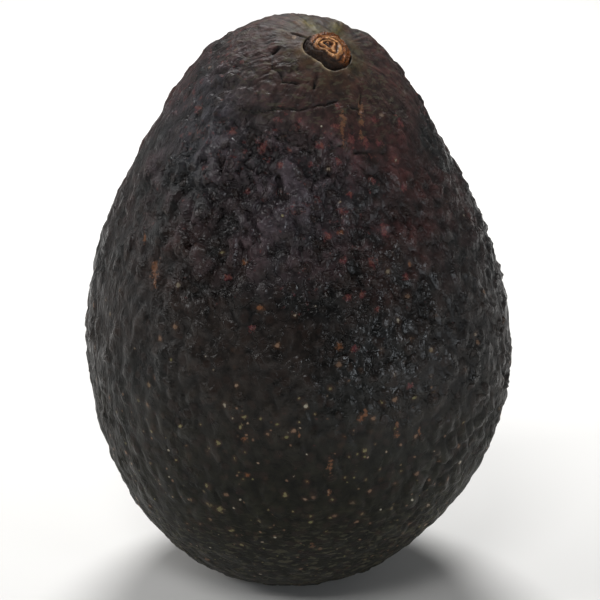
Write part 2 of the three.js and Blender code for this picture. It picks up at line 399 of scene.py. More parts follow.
def lineDistance(spots, path):
    # The least distance from each point to a chain of straight pieces between places on the skin
    corners = skinSpot(path)
    least = np.full(spots.shape[:-1], 1e3)
    for start, end in zip(corners[:-1], corners[1:]):
        run = end - start
        way = np.clip((spots - start) @ run / (run @ run), 0, 1)
        least = np.minimum(least, np.linalg.norm(spots - start - way[..., None] * run, axis=-1))
    return least


# Skin relief, in millimetres

farAway = 9                    # stands for the distance to the nearest crack where there is none

skinRelief = {
    "pebbleCount": 1600,       # the frame's own pebbles
    "pebbleJitter": 0.6,
    "pebbleHeight": 0.46,
    "pebbleUnevenness": 1.6,
    "pebbleEdge": 1.5,
    "pebbleWarp": 0.8,         # share of the bending that the pebbles take
    "foldSize": 3.5,           # rounded swellings with creases between
    "foldHeight": 0.32,
    # places on the skin: angle from the stem, heading, reach in mm, share added
    "foldPlaces": [(113, 7, 9, 3.2), (101, 9, 8, 2.6), (124, 0, 8, 2.4), (98, 30, 9, 1.6),
                   (115, 262, 9, 1.2)],
    "wrinkleSize": 1.6,
    "wrinkleHeight": 0.26,
    "lumpSize": 2.4,           # low lumps with steep edges
    "lumpHeight": 0.34,
    "wartSize": 2.1,
    "wartHeight": 0.26,
    "knobSize": 3.4,           # large steep lumps, only at their own places
    "knobHeight": 0.66,
    "knobPlaces": [(40, 298, 7, 1.0), (50, 290, 9, 1.0), (60, 300, 8, 0.9), (64, 288, 7, 0.7),
                   (46, 315, 6, 0.6), (58, 280, 8, 0.7), (76, 292, 7, 0.7), (70, 340, 7, 0.4),
                   (84, 340, 6, 0.5), (36, 330, 6, 0.4)],
    "streakHeight": 0.14,      # fine lines that run out from the stem
    "streakCount": 19,
    "streakWarp": 0.45,
    "streakFront": (math.radians(345), 0.2),   # heading where they are weakest, and their share there
    "warpSize": 5,
    "warp": 1.6,
    "patchSize": 11,           # rough patches with flatter skin between
    "patchShare": 0.6,
    "mostRough": 1.3,
    "leastRough": 0.2,         # added everywhere
    "breakSize": 6,            # a second noise breaks the patches up, between two shares
    "breakShares": (0.4, 1.15),
    "bluntShare": 0.55,
    "stemShare": 0.38,
    "level": -0.03,            # the relief's mean is brought back to the smooth fruit
    "crackDepth": 0.4,
    "crackWidth": 0.25,
    "crackWander": 0.4,
    "crackWanderSize": 2.4,
    "roughPlaces": [
        (46, 312, 13, 0.8), (38, 288, 12, 0.5), (60, 290, 10, 0.5), (74, 345, 11, 0.8), (55, 345, 10, 0.4),
        (62, 5, 12, 0.4), (72, 318, 8, -0.5), (70, 275, 9, -0.3), (100, 320, 18, -0.5), (78, 42, 16, 0.6),
        (108, 28, 13, 0.6), (80, 248, 16, 0.35), (108, 258, 12, 0.3),
    ],
    "ridgePlaces": [(64, 318, 11, 1.0), (72, 300, 9, 0.7), (70, 335, 9, 0.8)],
    "cracks": [
        [(11, 208), (9.5, 206), (6.5, 207)],
        [(13, 236.5), (15, 247), (16, 262.5), (15, 273), (16, 281), (14, 291.5), (11.5, 303)],
        [(8, 308.5), (12, 314.5)],
        [(30, 276.5), (28.5, 284), (25, 290), (22.5, 297.5), (20, 308.5), (17.5, 319), (15.5, 328.5),
         (14, 340.5)],
        [(31.5, 287), (31, 298), (30, 311), (31, 323), (27.5, 343)],
        [(13, 17), (19, 2)],
        [(16.5, 356), (17, 6)],
        [(29.5, 348), (31, 9)],
        [(44, 290), (40.5, 298)],
    ],
}


def frameSwell(polar, turn, direction):
    # Broad unevenness, as the frame has it: bell-shaped swellings, the hollow flanks of the blunt end,
    # and the fold behind the stem
    s = fruitShape
    c = -np.cos(polar)
    lift = -s["bluntHollow"] * smoothStep(0.45, 0.7, c) * (1 - smoothStep(0.93, 0.985, c))
    for middlePolar, middleTurn, rise, reach in s["swellings"]:
        p, t = math.radians(middlePolar), math.radians(middleTurn)
        middle = np.array([math.sin(p) * math.cos(t), math.sin(p) * math.sin(t), math.cos(p)])
        apart = s["bellyRadius"] * np.arccos(np.clip(direction @ middle, -1, 1)) / reach
        lift = lift + rise * np.exp(-apart ** 2)
    radius = np.where(c < 0, stemEndRadius * np.sin(polar), s["foldReach"][3])
    angle = np.mod(turn, 2 * np.pi)
    steep = smoothStep(s["foldStart"] - s["foldSteepWidth"], s["foldStart"] + s["foldSteepWidth"], angle)
    soft = 1 - smoothStep(s["foldEnd"] - s["foldSoftWidth"], s["foldEnd"], angle)
    rising = smoothStep(*s["foldReach"][:2], radius)
    falling = 1 - smoothStep(*s["foldReach"][2:], radius)
    return lift + s["foldRise"] * steep * soft * rising * falling


def placeShare(spots, places):
    # Bell-shaped shares round places on the skin, added up
    total = np.zeros(spots.shape[:-1])
    for polar, turn, reach, share in places:
        apart = np.linalg.norm(spots - skinSpot([(polar, turn)])[0], axis=-1) / reach
        total += share * np.exp(-apart ** 2)
    return total


def pebbleMiddles():
    # Points spaced evenly round a ball by the golden angle, each moved a little: the frame's pebbles
    count = skinRelief["pebbleCount"]
    k = np.arange(count)
    height = 1 - (2 * k + 1) / count
    radius = np.sqrt(1 - height ** 2)
    turn = k * math.pi * (3 - math.sqrt(5))
    middles = np.stack([radius * np.cos(turn), radius * np.sin(turn), height], axis=-1)
    shift = np.stack([mixedShare(4 * k + j) for j in range(3)], axis=-1) - 0.5
    middles += shift * skinRelief["pebbleJitter"] * math.sqrt(4 * math.pi / count)
    heights = mixedShare(4 * k + 3) ** skinRelief["pebbleUnevenness"]
    return middles / np.linalg.norm(middles, axis=-1, keepdims=True), heights


def framePebbles(direction):
    # The angles to the nearest and second nearest pebble middle, and the nearest one's height
    middles, heights = pebbleMiddles()
    flat = direction.reshape(-1, 3)
    nearest, second, best = np.zeros(len(flat)), np.zeros(len(flat)), np.zeros(len(flat), int)
    chunk = 8000
    for start in range(0, len(flat), chunk):
        closeness = flat[start:start + chunk] @ middles.T
        pick = closeness.argmax(axis=1)
        ring = np.arange(len(pick))
        nearest[start:start + chunk] = closeness[ring, pick]
        best[start:start + chunk] = pick
        closeness[ring, pick] = -2
        second[start:start + chunk] = closeness.max(axis=1)
    shape = direction.shape[:-1]
    nearest, second = (np.arccos(np.clip(a, -1, 1)).reshape(shape) for a in (nearest, second))
    return nearest, second, heights[best].reshape(shape)


def relief(polar, turn, spots):
    # The frame's pebbles as soft domes, plus creased swellings, knobs, and in rough patches wrinkles, lumps
    # and warts, all bent by a slow noise, plus lines round the stem and less the cracks
    r = skinRelief
    shift = np.stack([layeredNoise(spots, r["warpSize"], 11 + k, 2) for k in range(3)], axis=-1) * r["warp"]
    bent = spots + shift
    aside = np.sin(polar)
    direction = np.stack([aside * np.cos(turn), aside * np.sin(turn), np.cos(polar)], axis=-1)
    scale = fruitShape["bellyRadius"]
    aim = direction + shift / scale * r["pebbleWarp"]
    aim /= np.linalg.norm(aim, axis=-1, keepdims=True)
    near, far, rise = framePebbles(aim)
    pebbles = smoothStep(0, r["pebbleEdge"], (far - near) * scale) * rise * r["pebbleHeight"]

    zone = -np.cos(polar)
    patch = smoothStep(-0.35, 0.45, layeredNoise(spots, r["patchSize"], 21, 2)) * r["patchShare"]
    patch = patch * (1 - smoothStep(0.1, 0.5, zone)) + placeShare(spots, r["roughPlaces"])
    broken = lerp(*r["breakShares"], smoothStep(-0.15, 0.2, layeredNoise(spots, r["breakSize"], 23, 2)))
    patch = (np.clip(patch, 0, r["mostRough"]) + r["leastRough"]) * broken
    folds = np.abs(layeredNoise(bent, r["foldSize"], 41, 2))
    wrinkles = np.abs(layeredNoise(bent * [1, 1, 1.35], r["wrinkleSize"], 51, 2))
    lumps = smoothStep(0.04, 0.15, layeredNoise(bent, r["lumpSize"], 56, 2))
    near, share = cellField(bent, r["wartSize"], 31)
    warts = smoothStep(-1.1, -0.5, -near / (0.3 + 0.6 * share)) * (0.4 + 0.6 * share)
    knobs = smoothStep(0.02, 0.12, layeredNoise(bent, r["knobSize"], 57, 3))
    knobs = knobs * placeShare(spots, r["knobPlaces"])
    ridges = smoothStep(0.2, 0.5, layeredNoise(spots, 9, 66, 2)) * 0.5 + placeShare(spots, r["ridgePlaces"])
    foldHeight = r["foldHeight"] * (1 + placeShare(spots, r["foldPlaces"]))
    fine = pebbles + r["knobHeight"] * knobs + foldHeight * (folds ** 0.8 - 0.35) + patch * (
        r["wrinkleHeight"] * (wrinkles ** 0.8 - 0.35) + r["lumpHeight"] * (lumps - 0.4)
        + r["wartHeight"] * (warts - 0.2))

    count = r["streakCount"]
    ray = np.stack([np.cos(turn) * count, np.sin(turn) * count, polar * 5], axis=-1)
    weakest, leastShare = r["streakFront"]
    around = smoothStep(0.12, 0.3, polar) * (1 - smoothStep(0.3, 0.75, polar))
    around *= lerp(1, leastShare, 0.5 + 0.5 * np.cos(turn - weakest))
    streaks = layeredNoise(ray + shift * r["streakWarp"], 1, 91, 2) * around * r["streakHeight"]
    wavering = np.stack([layeredNoise(spots, r["crackWanderSize"], 81 + k, 3) for k in range(3)], axis=-1)
    wavering = wavering * r["crackWander"]
    crackAway = np.full_like(polar, farAway)
    for path in r["cracks"]:
        crackAway = np.minimum(crackAway, lineDistance(spots + wavering, path))
    crack = np.exp(-(crackAway / r["crackWidth"]) ** 2)
    blunt = lerp(1, r["bluntShare"], smoothStep(-0.05, 0.5, zone))
    stem = lerp(r["stemShare"], 1, smoothStep(-0.985, -0.82, zone))
    height = fine * blunt * stem + streaks
    lift = frameSwell(polar, turn, direction) + r["level"] * stem + height - crack * r["crackDepth"]
    return lift, {
        "height": height,
        "crack": crack,
        "crackAway": crackAway,
        "streak": streaks / r["streakHeight"],
        "ridges": ridges * blunt * stem,
        "rough": np.clip(patch, 0, r["mostRough"]) * lerp(0.45, 1, blunt) * lerp(0.5, 1, stem),
    }


# Pit and lip round the stem, as the frame has them

stemPit = {
    "radius": 4,
    "backShift": 0.085,
    "backHeading": math.radians(208),
    "oval": 0.06,
    "ovalHeading": math.radians(98),
    "dent": 1.5,
    "dentHeading": math.radians(290),
    "dentWidth": math.radians(31),
    "floorShare": 0.93,
    "depth": 2.7,
    "lipOuterRadius": 9,
    "lipRise": 0.6,
    "wallRows": 10,
    "floorRows": 5,
    "rimHeading": math.radians(286),   # the pale edge of the skin shows most on this side
    "rimFocus": 3,
    "rimWidth": 0.9,           # in rows
}


def pitOutline(turn):
    # An oval set a little back, with a dent where the skin bulges into it
    p = stemPit
    apart = np.mod(turn - p["dentHeading"] + math.pi, 2 * math.pi) - math.pi
    shift = p["backShift"] * np.cos(turn - p["backHeading"])
    oval = p["oval"] * np.cos(2 * (turn - p["ovalHeading"]))
    return p["radius"] * (1 + shift + oval) - p["dent"] * np.exp(-(apart / p["dentWidth"]) ** 2)


def lipRelief(radius, turn):
    # Highest at the pit and running out at the outer radius
    opening = pitOutline(turn)
    away = np.clip((radius - opening) / (stemPit["lipOuterRadius"] - opening), 0, 1)
    ripple = 0.1 * np.sin(7 * turn + 1) + 0.07 * np.sin(11 * turn)
    return (stemPit["lipRise"] + ripple) * (1 - away) ** 2


skinGrid = {
    "around": 424,
    "rows": 214,               # from the lip to the blunt end
    "closerFront": 0.45,       # the front's points stand this share closer, the back's wider
    "front": math.radians(324),
    "spacing": ([0, 0.2, 0.75, 1], [0, 0.11, 0.62, 1]),   # share of the rows, share of the way down
}


def skinRows():
    # Rows from the middle of the pit's floor, up its wall, over the lip and down the skin to the blunt end
    p, g = stemPit, skinGrid
    even = np.arange(g["around"]) / g["around"] * 2 * np.pi
    turn = even - g["closerFront"] * np.sin(even - g["front"])
    rimPolar = np.arcsin(pitOutline(turn) / stemEndRadius)
    share = np.interp(np.linspace(0, 1, g["rows"]), *g["spacing"])[:, None]
    polar = lerp(rimPolar[None, :], math.pi, share)
    turns = np.broadcast_to(turn, polar.shape)
    spots = smoothSkin(polar, turns)
    lift, skinValues = relief(polar, turns, spots)
    lip = np.where(polar < math.pi / 2, lipRelief(stemEndRadius * np.sin(polar), turns), 0)
    normals = outward(polar, turns)
    points = spots + (lift + lip)[..., None] * normals
    points[..., 2] = np.maximum(points[..., 2], 0)
    points[-1] = points[-1].mean(axis=0)

    # The wall starts with a small rounded edge and leans in to the floor
    rim = points[0]
    inward = -(np.cos(turn)[:, None] * stemAcross + np.sin(turn)[:, None] * sideways)
    wall = np.linspace(0, 1, p["wallRows"] + 1)[1:, None, None] ** 1.6
    narrow = (pitOutline(turn) * (1 - p["floorShare"]))[:, None] * np.sqrt(wall)
    floorLevel = (-p["depth"] - (rim - stemPoint) @ stemRun)[:, None]
    wallPoints = rim + narrow * inward + wall * floorLevel * stemRun
    floorShare = np.linspace(0, 1, p["floorRows"] + 1)[1:, None, None]
    floorPoints = lerp(wallPoints[-1], wallPoints[-1].mean(axis=0), floorShare)
    rows = np.concatenate([floorPoints[::-1], wallPoints[::-1], points])
    pitRows = (p["wallRows"] + p["floorRows"], g["around"])
    rimSide = (0.5 + 0.5 * np.cos(turn - p["rimHeading"])) ** p["rimFocus"]
    skinValues["rim"] = np.exp(-(np.arange(g["rows"]) / p["rimWidth"]) ** 2)[:, None] * rimSide
    skinValues["polar"] = polar
    values = {name: np.concatenate([np.zeros(pitRows), grid]) for name, grid in skinValues.items()}
    values["turn"] = np.broadcast_to(turn, rows.shape[:2])
    values["pit"] = np.concatenate([np.ones(pitRows), np.zeros_like(polar)])
    values["crackAway"][:pitRows[0]] = farAway
    values["spot"] = np.concatenate([rows[:pitRows[0]], spots])
    values["normal"] = np.concatenate([np.broadcast_to(stemRun, (*pitRows, 3)), normals])
    return rows, values


# Avocado skin: a thin leathery waxy rind, pebbled as it grew, near black when ripe, with low satin gloss.
# Tops that were rubbed or ripened less are red or orange, small corky pores show as pale dots, and a few
# near-white dots are painted glints.

skinLook = {
    "dark": "#151515",
    "brownBlack": "#1d1917",
    "maroon": "#382120",
    "olive": "#3d3322",
    "oliveGreen": "#433d20",
    "crownBrown": "#33221e",
    # painted sheen: two paler patches, bluish and purple-grey, for the soft reflection on the upper left
    # and above the middle
    "bluishSheen": "#25262a",
    "purpleSheen": "#2f2a2d",
    "lowGreen": "#14140d",
    # painted shade: near black for the inside of the stem pit
    "pitBlack": "#0c0906",
    "rimTan": "#93836b",
    # painted shade: near black inside the cracks
    "crackBlack": "#080706",
    "brownTop": "#2a201c",
    "redTop": "#54292e",
    "orangeTop": "#6a4238",
    "orangeMark": "#6c452c",
    "creamMark": "#787150",
    "dotRing": "#3a2a20",
    # from the cell's random share: position and colour; the near-white stop at 0.92 makes painted glints
    "dotRamp": [(0.55, "#3c3a28"), (0.6, "#8b8470"), (0.66, "#4a4030"), (0.72, "#6a6844"),
                (0.78, "#5e4a3c"), (0.86, "#725a48"), (0.92, "#a09a8a"), (0.96, "#5c5040")],
    "lowDash": "#504d3c",
    "scuff": "#6c4a35",
    "ior": 1.28,
    "roughness": (0.22, 0.62),
    # colour, place, reach in mm, share in the middle, unevenness
    "tintPlaces": [("maroon", (25, 348), 10, 0.95, 0.3), ("bluishSheen", (38, 262), 20, 0.9, 0.5),
                   ("purpleSheen", (44, 318), 16, 1.1, 0.4)],
    # angles from the stem in degrees between which a zone starts or ends
    "upperEnd": (45, 75),
    "crownEnd": (12, 34),
    "oliveEnd": (5, 16),
    "greenEnd": (12, 22),
    "greenHeadings": (137, 171),
    "greenWidth": 9,
    "lowStart": (75, 110),
    "redStart": (14, 26),
    "redEnd": (62, 85),
    "redStrongEnd": (35, 60),
    "redShares": (0.1, 0.34),
    "redPlaces": [(34, 22, 10, -0.2), (48, 22, 12, -0.15), (24, 345, 6, 0.06)],
    "dashStart": (105, 128),
    "dashEnd": (16, 36),       # of the dashes round the stem
    "dashShares": (0.6, 0.4),
    "strokeStart": (15, 35),
    "dullCrownEnd": (22, 48),
    "dullLowStart": (80, 110),
    "glossPlaces": [(74, 340, 13, 0.5), (45, 315, 14, 0.4), (52, 292, 12, 0.3)],
    "clumpSize": 9,            # sizes and heights from here on in mm
    "wander": 1.6,
    "wanderSize": 3.2,
    "mottleSize": 2,
    "grainSize": 0.5,
    "grainHeight": 0.06,
    "bigLumpSize": 1.7,
    "bigLumpHeight": 0.26,
    "smallLumpSize": 0.85,
    "smallLumpHeight": 0.14,
    "lineSize": 2.6,
    "lineHeight": 0.12,
    "creaseSize": 3.4,
    "creaseDepth": 0.09,
    "strokeSize": 1.3,         # fine strokes up and down the sides
    "strokeHeight": 1.3,
    "strokeLength": 0.28,      # scale up and down
    "redSize": 1.2,
    "raggedSize": 0.9,
    "dashSize": 1.7,
    "dashFlatness": 3,
    "markScale": 0.85,
    "scuffLength": 2.4,
    # radius, spacing, attribute, strength of the brown ring round it
    "dots": [(0.26, 1.8, "dotShare", 0.5), (0.15, 1.05, "fineShare", 0.2)],
}

# Marks at the photo's places: angle from the stem, heading round it, radius in mm
skinMarks = {
    "red": [
        (38, 355, 0.6), (41, 343, 0.6), (46, 339, 0.7), (51, 338, 0.6), (52, 333, 0.6), (51.5, 355, 0.9),
        (58.5, 348, 0.8), (57.5, 338, 0.55), (42, 10, 0.8), (32.5, 338, 0.6), (25.5, 349, 0.8),
        (26.5, 358, 0.7), (34, 12, 0.7), (28, 8, 0.6), (26.5, 32, 0.7), (68.5, 347, 0.5), (75.5, 339, 0.6),
        (84.5, 354, 0.6), (65.5, 338, 0.6), (65, 343, 0.6), (62.5, 359, 0.6), (72.5, 311, 0.5),
        (64, 302, 0.5), (34.5, 299, 0.9), (35.5, 281, 0.7), (46, 300, 0.5), (28.5, 328, 0.6),
        (34.5, 324, 0.5), (32, 312, 0.5), (21.5, 338, 0.7), (43.5, 329, 0.5), (23, 312, 0.5),
        (37, 310, 0.5), (15.5, 342, 0.6), (21.5, 13, 0.6),
    ],
    "orange": [
        (60.5, 306, 0.5), (68.5, 313, 0.6), (75, 335, 0.6), (89.5, 340, 0.6), (51, 338, 0.4),
        (94.5, 350, 0.5), (101, 310, 0.5), (93.5, 310, 0.5), (60, 2, 0.45), (102.5, 326, 0.4),
    ],
    "cream": [
        (97.5, 307, 0.35), (94.5, 303, 0.5), (105.5, 320, 0.4), (102.5, 326, 0.35), (96.5, 341, 0.4),
        (97.5, 337, 0.25), (95.5, 344, 0.25), (107.5, 333, 0.45), (103.5, 342, 0.3), (101.5, 346, 0.35),
        (110, 300, 0.7), (104.5, 298, 0.5), (89, 310, 0.45), (91, 309, 0.35), (96, 310, 0.3),
        (96, 300, 0.3), (60, 298, 0.4), (49, 316, 0.25), (83, 332, 0.35), (87, 346, 0.4),
        (109.5, 315, 0.25), (110, 322, 0.25), (100.5, 308, 0.3), (91.5, 298, 0.3), (92.5, 292, 0.35),
        (100, 289, 0.4), (88, 328, 0.25), (89.5, 317, 0.2), (89.5, 324, 0.25), (112.5, 312, 0.4),
        (111.5, 327, 0.45), (112.5, 333, 0.4), (114.5, 315, 0.4), (116, 302, 0.6), (121, 304, 0.6),
        (85, 324, 0.25), (109, 298, 0.5), (95, 282, 0.3),
    ],
    "scuff": [
        (99.5, 332, 0.5), (92, 324, 0.2), (121.5, 328, 0.4), (67.5, 276, 0.9), (69.5, 278, 0.7),
        (64, 268, 0.4), (17.5, 346, 0.35), (19, 345, 0.5), (21, 344, 0.4), (23, 343, 0.5), (25, 343, 0.35),
        (26.5, 342, 0.5), (14.5, 13, 0.3), (16, 8, 0.4), (17.5, 5, 0.45), (19.5, 2, 0.35), (21, 0, 0.45),
        (23, 357, 0.35), (25.5, 356, 0.45), (92.5, 350, 0.4), (94.5, 357, 0.3), (88.5, 341, 0.3),
        (105.5, 332, 0.35),
    ],
}


def markOffsets(spots, normals, marks, stretch):
    # From the nearest mark's middle to each place, in that mark's own radii: the material draws its edge
    # finer than the grid is. Far from every mark it is a long way straight out of the skin
    nearest = np.full(spots.shape[:-1], 99.0)
    offsets = 12 * normals
    for polar, turn, radius in marks:
        radius *= skinLook["markScale"]
        offset = (spots - skinSpot([(polar, turn)])[0]) / radius / [1, 1, stretch]
        far = np.linalg.norm(offset, axis=-1)
        closer = (far < nearest) & ((far < 2.2) | (far * radius < 1))
        nearest = np.where(closer, far, nearest)
        offsets = np.where(closer[..., None], offset, offsets)
    return offsets


def tintSkin(values):
    # Colour of each place: zones laid over each other, from the broad ones to the small
    look = skinLook
    spots, polar, turn = values["spot"], np.degrees(values["polar"]), np.degrees(values["turn"])
    slow = layeredNoise(spots, 14, 101, 2)
    medium = layeredNoise(spots, 5, 111, 3)
    small = layeredNoise(spots, 1.7, 121, 2)
    tint = np.broadcast_to(linearColour(look["dark"])[:3], spots.shape)
    tint = lay(tint, look["brownBlack"], 0.5 + slow + 0.5 * medium)
    upper = 1 - smoothStep(*look["upperEnd"], polar)
    tint = lay(tint, look["maroon"], upper * (0.35 + 0.8 * medium + 0.5 * slow))
    # the places include the two patches of painted sheen
    for name, place, reach, most, uneven in look["tintPlaces"]:
        away = np.linalg.norm(spots - skinSpot([place])[0], axis=-1)
        tint = lay(tint, look[name], most - away / reach + uneven * medium)
    tint = lay(tint, look["crownBrown"], (1 - smoothStep(*look["crownEnd"], polar + 8 * slow)) * 0.75)
    behind = 0.65 - 0.35 * np.cos(np.radians(turn - 310))
    olive = (1 - smoothStep(*look["oliveEnd"], polar + 5 * medium)) * (behind + 0.3 * small)
    tint = lay(tint, look["olive"], olive)
    # Darker and greener towards the blunt end: the skin's own green, and painted shade over the lower part
    tint = lay(tint, look["lowGreen"], smoothStep(*look["lowStart"], polar) * 0.9)
    for heading in look["greenHeadings"]:
        apart = (np.mod(turn - heading + 180, 360) - 180) / look["greenWidth"]
        green = np.exp(-apart ** 2) * (1 - smoothStep(*look["greenEnd"], polar)) * 0.9
        tint = lay(tint, look["oliveGreen"], green)
    # Painted shade and light: darker in the hollows of the relief and paler on its tops, and paler and
    # darker along the streak lines round the stem
    reliefLightAndShade = 0.5 * np.clip(values["height"] * 3, -0.9, 1.1) + 1.4 * values["streak"]
    tint = tint * (1 + reliefLightAndShade)[..., None]
    tint = lay(tint, look["rimTan"], values["rim"] * (0.75 + 0.4 * small))
    # Painted shade along the cracks
    tint = lay(tint, look["crackBlack"], values["crack"] * 0.85)
    # Painted shade: the wall and floor of the stem pit near black
    return lay(tint, look["pitBlack"], values["pit"])


def skinMaterial():
    look = skinLook
    tone = {name: linearColour(text) for name, text in look.items() if isinstance(text, str)}
    material, tree, shader, add = newMaterial("avocado_rind")
    place = add("TexCoord", {}, {}, "Object")
    share = {name: add("Attribute", {"attribute_name": name}, {}, "Fac")
             for name in ("redShare", "dashShare", "dotShare", "fineShare", "roughShare", "ridgeShare",
                          "dullShare", "strokeShare", "crackAway")}
    tint = add("Attribute", {"attribute_name": "skinTint"}, {}, "Color")

    # Places bent by a slow noise, so that the lumps are irregular, and two stretched from them
    slow = add("TexNoise", {}, {"Vector": place, "Scale": 1000 / look["wanderSize"]}, "Color")
    bent = add("VectorMath", timesPlus, {0: slow, 1: [look["wander"] * millimetre] * 3, 2: place})
    upright, level = (add("VectorMath", times, {0: bent, 1: (1, 1, scale)})
                      for scale in (look["strokeLength"], look["dashFlatness"]))
    noise = {}
    for name, vector, detail, roughness in (
            ("mottle", place, 5, 0.65), ("grain", place, 3, 0.65), ("line", bent, 2, 0.5),
            ("crease", bent, 2, 0.5), ("stroke", upright, 3, 0.6), ("red", place, 4, 0.7),
            ("dash", level, 2, 0.6), ("ragged", place, 4, 0.75)):
        noise[name] = add("TexNoise", {}, {"Vector": vector, "Scale": 1000 / look[name + "Size"],
                                           "Detail": detail, "Roughness": roughness})

    # Lumps: round a random point in each cell, steep at the edge, and only in some of the cells
    lumps = []
    for size, edge, middle in ((look["bigLumpSize"], 0.62, 0.3), (look["smallLumpSize"], 0.55, 0.25)):
        cells = {"Vector": bent, "Scale": 1000 / size}
        far = add("TexVoronoi", {}, cells)
        picked = add("TexVoronoi", {}, cells, "Color")
        dome = add("MapRange", soft, {"Value": far, "From Min": edge, "From Max": middle})
        picked = add("MapRange", {}, {"Value": picked, "From Min": 0.4, "From Max": 0.6})
        lumps.append(add("Math", times, {0: dome, 1: picked}))

    # Lines: where a noise passes through its middle value
    lines = []
    for name, width in (("line", 0.03), ("crease", 0.025)):
        away = add("Math", {"operation": "SUBTRACT"}, {0: noise[name], 1: 0.5})
        away = add("Math", {"operation": "ABSOLUTE"}, {0: away})
        lines.append(add("MapRange", soft, {"Value": away, "From Min": width, "From Max": 0}))

    # Height in mm: each part times its own height and its share there
    height = add("Math", times, {0: noise["grain"], 1: look["grainHeight"]})
    for part, reach, there in ((lumps[0], look["bigLumpHeight"], "roughShare"),
                               (lumps[1], look["smallLumpHeight"], "roughShare"),
                               (lines[0], look["lineHeight"], "ridgeShare"),
                               (noise["stroke"], look["strokeHeight"], "strokeShare"),
                               (lines[1], -look["creaseDepth"], "roughShare")):
        scaled = add("Math", times, {0: part, 1: share[there]})
        height = add("Math", timesPlus, {0: scaled, 1: reach, 2: height})
    bump = add("Bump", {}, {"Strength": 1, "Distance": millimetre, "Height": height})
    tree.links.new(bump, shader.inputs["Normal"])

    # Colour: the broad tint mottled, browner on the lumps, red in patches and with pale dashes low down
    darker = add("HueSaturation", {}, {"Value": 0.5, "Saturation": 0.9, "Color": tint})
    brighter = add("HueSaturation", {}, {"Value": 1.8, "Saturation": 1.1, "Color": tint})
    there = add("MapRange", {}, {"Value": noise["mottle"], "From Min": 0.36, "From Max": 0.64})
    colour = add("Mix", mixing, {0: there, 6: darker, 7: brighter}, 2)
    there = add("Math", times, {0: lumps[0], 1: 0.45})
    colour = add("Mix", mixing, {0: there, 6: colour, 7: tone["brownTop"]}, 2)
    there = add("MapRange", {}, {"Value": noise["grain"], "From Min": 0.42, "From Max": 0.62})
    redTint = add("Mix", mixing, {0: there, 6: tone["redTop"], 7: tone["orangeTop"]}, 2)
    there = add("Math", timesPlus, {0: share["redShare"], 1: 0.3, 2: noise["red"]})
    there = add("MapRange", {}, {"Value": there, "From Min": 0.68, "From Max": 0.78, "To Max": 0.75})
    colour = add("Mix", mixing, {0: there, 6: colour, 7: redTint}, 2)
    there = add("MapRange", {}, {"Value": noise["dash"], "From Min": 0.55, "From Max": 0.61})
    there = add("Math", times, {0: there, 1: share["dashShare"]})
    colour = add("Mix", mixing, {0: there, 6: colour, 7: tone["lowDash"]}, 2)

    # The marks: the distance from a mark's middle in its own radii, its edge broken by a noise. Each layer
    # has its colour, how broken its edge is, the radii where it starts and is full, and its strength
    ragged = add("Math", {"operation": "SUBTRACT"}, {0: noise["ragged"], 1: 0.5})
    for name, over, breaking, outer, inner, strength in (
            ("red", redTint, 6, 1.3, 0.5, 0.85), ("orange", tone["dotRing"], 4, 1.8, 1, 0.6),
            ("orange", tone["orangeMark"], 6, 1, 0.4, 0.9), ("scuff", tone["scuff"], 7, 1, 0.4, 0.85),
            ("cream", tone["dotRing"], 4, 2, 1.1, 0.5), ("cream", tone["creamMark"], 6, 0.8, 0.2, 0.85)):
        offset = add("Attribute", {"attribute_name": name + "Offset"}, {}, "Vector")
        away = add("VectorMath", {"operation": "LENGTH"}, {0: offset}, "Value")
        away = add("Math", timesPlus, {0: ragged, 1: breaking, 2: away})
        there = add("MapRange", {}, {"Value": away, "From Min": outer,
                                     "From Max": inner, "To Max": strength})
        colour = add("Mix", mixing, {0: there, 6: colour, 7: over}, 2)

    # The dots: round a random point in some of the cells, each with a wider brown ring under it; the
    # near-white ones are painted glints
    for radius, spacing, name, ring in look["dots"]:
        cells = {"Vector": place, "Scale": 1000 / spacing}
        far = add("TexVoronoi", {}, cells)
        kind = add("TexVoronoi", {}, cells, "Color")
        wider = add("MapRange", {}, {"Value": kind, "From Min": 0.56, "From Max": 0.8,
                                     "To Min": 0.5, "To Max": 1.4})
        far = add("Math", {"operation": "DIVIDE"}, {0: far, 1: wider})
        far = add("Math", timesPlus, {0: ragged, 1: 0.5, 2: far})
        chosen = add("Math", {"operation": "ADD"}, {0: share[name], 1: kind})
        chosen = add("MapRange", {}, {"Value": chosen, "From Min": 0.95, "From Max": 1})
        ramp = add("ValToRGB", {}, {0: kind})
        stops = ramp.node.color_ramp.elements
        stops.remove(stops[1])
        stops[0].color = linearColour(look["dotRamp"][0][1])
        for position, hexText in look["dotRamp"]:
            stops.new(position).color = linearColour(hexText)
        reach = radius / spacing
        for over, outer, inner, strength in ((tone["dotRing"], 2.4, 1.0, ring), (ramp, 1.15, 0.7, 1.0)):
            there = add("MapRange", {}, {"Value": far, "From Min": outer * reach,
                                         "From Max": inner * reach, "To Max": strength})
            there = add("Math", times, {0: there, 1: chosen})
            colour = add("Mix", mixing, {0: there, 6: colour, 7: over}, 2)
    # Painted shade: the cracks drawn near black again, finer than the grid
    crack = add("Math", timesPlus, {0: ragged, 1: 0.25, 2: share["crackAway"]})
    there = add("MapRange", {}, {"Value": crack, "From Min": 0.19, "From Max": 0.06})
    colour = add("Mix", mixing, {0: there, 6: colour, 7: tone["crackBlack"]}, 2)
    tree.links.new(colour, shader.inputs["Base Color"])

    low, high = look["roughness"]
    dull = add("Math", timesPlus, {0: noise["mottle"], 1: 0.9, 2: share["dullShare"]})
    dull = add("MapRange", {}, {"Value": dull, "From Min": 0.45, "From Max": 1.45,
                                "To Min": low, "To Max": high})
    tree.links.new(dull, shader.inputs["Roughness"])
    shader.inputs["IOR"].default_value = look["ior"]
    return material


